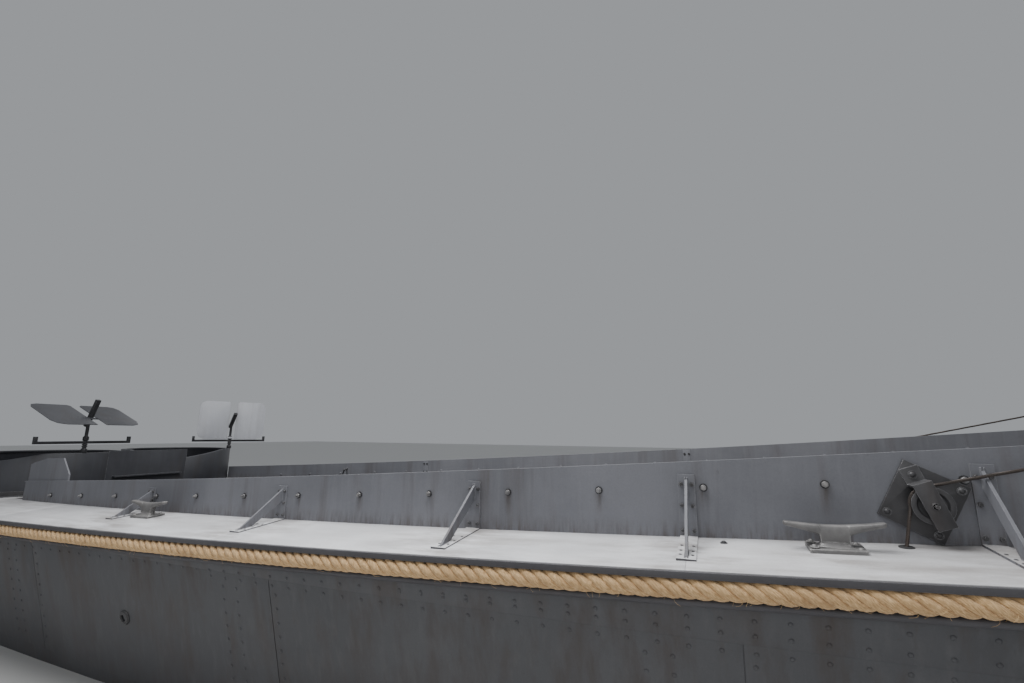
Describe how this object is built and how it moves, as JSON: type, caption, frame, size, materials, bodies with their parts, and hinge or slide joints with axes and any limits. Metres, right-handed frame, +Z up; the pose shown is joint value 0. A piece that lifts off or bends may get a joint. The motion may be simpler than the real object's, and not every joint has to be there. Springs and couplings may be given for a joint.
{
  "type": "ramped landing craft",
  "caption": "Small wooden-hulled landing craft: wide box-like open well between armoured coamings, drop ramp bow, engine box and helm aft, two round tubs with paired shields, rope fender.",
  "frame": {"origin": "on the centreline at half length, at the height of the waterline", "axes": "+X forward to the bow ramp, +Y to port, +Z up"},
  "size_m": [11.1198, 3.2592, 3.1142],
  "materials": {
    "hull_paint": "dull dark blue-grey hull paint over planking, weathered",
    "hull_wood": "planking and plywood under dark blue-grey paint",
    "bottom_paint": "dark bottom paint over planking",
    "deck_paint": "worn light grey deck paint over plywood",
    "plate_paint": "flat medium grey paint on armour plate",
    "light_paint": "flat light grey paint on steel",
    "dark_steel": "dark grey paint on steel, worn",
    "cast_paint": "dark grey paint on a casting",
    "rope": "laid manila rope",
    "lid_paint": "plywood lids under flat grey paint",
    "boards": "oiled grey wooden boards",
    "cable_steel": "rusty steel wire rope",
    "bronze": "weathered bronze",
    "engine_paint": "dull green engine enamel"
  },
  "bodies": {
    "hull": {"hull_bottom": "bottom_paint", "side_starboard": "hull_wood", "side_port": "hull_wood", "transom": "hull_wood", "headlog": "hull_paint", "deck_starboard": "deck_paint", "deck_port": "deck_paint", "deck_aft": "deck_paint", "bulkhead_aft": "plate_paint", "floor_boards": "boards", "keel_skeg": "bottom_paint", "coaming_starboard": "plate_paint", "coaming_port": "plate_paint", "fender_rope_starboard": "rope", "fender_rope_port": "rope", "guard_starboard": "hull_paint", "guard_port": "hull_paint", "cleat_aft_starboard": "cast_paint", "cleat_forward_starboard": "cast_paint", "cleat_aft_port": "cast_paint", "cleat_forward_port": "cast_paint", "sheave_bracket_starboard": "cast_paint", "ramp_cable_starboard": "cable_steel", "sheave_bracket_port": "cast_paint", "ramp_cable_port": "cable_steel", "hinge_lugs": "dark_steel", "tub_starboard": "plate_paint", "tub_port": "plate_paint", "tub_breastwork": "plate_paint", "engine_box": "plate_paint", "engine_block": "engine_paint", "helm_stand": "plate_paint", "ramp_winch": "dark_steel", "stern_bitt": "light_paint", "vent_starboard": "light_paint", "vent_port": "light_paint", "discharge_fitting": "cast_paint"},
    "ramp": {"ramp_plate": "plate_paint", "ramp_frame": "plate_paint", "ramp_eye_port": "dark_steel", "ramp_eye_starboard": "dark_steel"},
    "sheave_wheel_starboard": {"sheave_starboard": "cast_paint"},
    "sheave_wheel_port": {"sheave_port": "cast_paint"},
    "propeller_shaft": {"propeller": "bronze"},
    "rudder_blade": {"rudder": "dark_steel"},
    "helm": {"helm_wheel": "dark_steel"},
    "shield_mount_starboard": {"mount_starboard": "dark_steel", "shield_starboard": "light_paint"},
    "shield_mount_port": {"mount_port": "dark_steel", "shield_port": "light_paint"},
    "lid_starboard": {"engine_lid_starboard": "lid_paint"},
    "lid_port": {"engine_lid_port": "lid_paint"}
  },
  "joints": [
    {"name": "ramp_hinge", "type": "hinge", "parent": "hull", "child": "ramp", "pos_m": [4.77, 0, 0.15], "axis": [0, 1, 0], "range_deg": [0, 95]},
    {"name": "sheave_spin_starboard", "type": "hinge", "parent": "hull", "child": "sheave_wheel_starboard", "pos_m": [2.226, -1.199, 1.287], "axis": [0, 1, 0], "continuous": true},
    {"name": "sheave_spin_port", "type": "hinge", "parent": "hull", "child": "sheave_wheel_port", "pos_m": [2.226, 1.199, 1.287], "axis": [0, 1, 0], "continuous": true},
    {"name": "propeller_spin", "type": "hinge", "parent": "hull", "child": "propeller_shaft", "pos_m": [-4.335, 0, -0.48], "axis": [1, 0, 0], "continuous": true},
    {"name": "rudder_turn", "type": "hinge", "parent": "hull", "child": "rudder_blade", "pos_m": [-4.895, 0, -0.5], "axis": [0, 0, 1], "range_deg": [-35, 35]},
    {"name": "helm_turn", "type": "hinge", "parent": "hull", "child": "helm", "pos_m": [-2.345, 0.85, 0.815], "axis": [1, 0, 0], "range_deg": [-540, 540]},
    {"name": "shield_train_starboard", "type": "hinge", "parent": "hull", "child": "shield_mount_starboard", "pos_m": [-3.997, -0.62, 1.311], "axis": [0, 0, 1], "range_deg": [-45, 45]},
    {"name": "shield_train_port", "type": "hinge", "parent": "hull", "child": "shield_mount_port", "pos_m": [-4.163, 1.012, 1.311], "axis": [0, 0, 1], "range_deg": [-45, 45]},
    {"name": "lid_hinge_starboard", "type": "hinge", "parent": "hull", "child": "lid_starboard", "pos_m": [-1.775, -0.562, 1.03], "axis": [1, 0, 0], "range_deg": [0, 100]},
    {"name": "lid_hinge_port", "type": "hinge", "parent": "hull", "child": "lid_port", "pos_m": [-1.775, 0.562, 1.03], "axis": [-1, 0, 0], "range_deg": [0, 100]}
  ],
  "couplings": [
    {"joint": "rudder_turn", "follows": "helm_turn", "ratio": 0.0648}
  ]
}
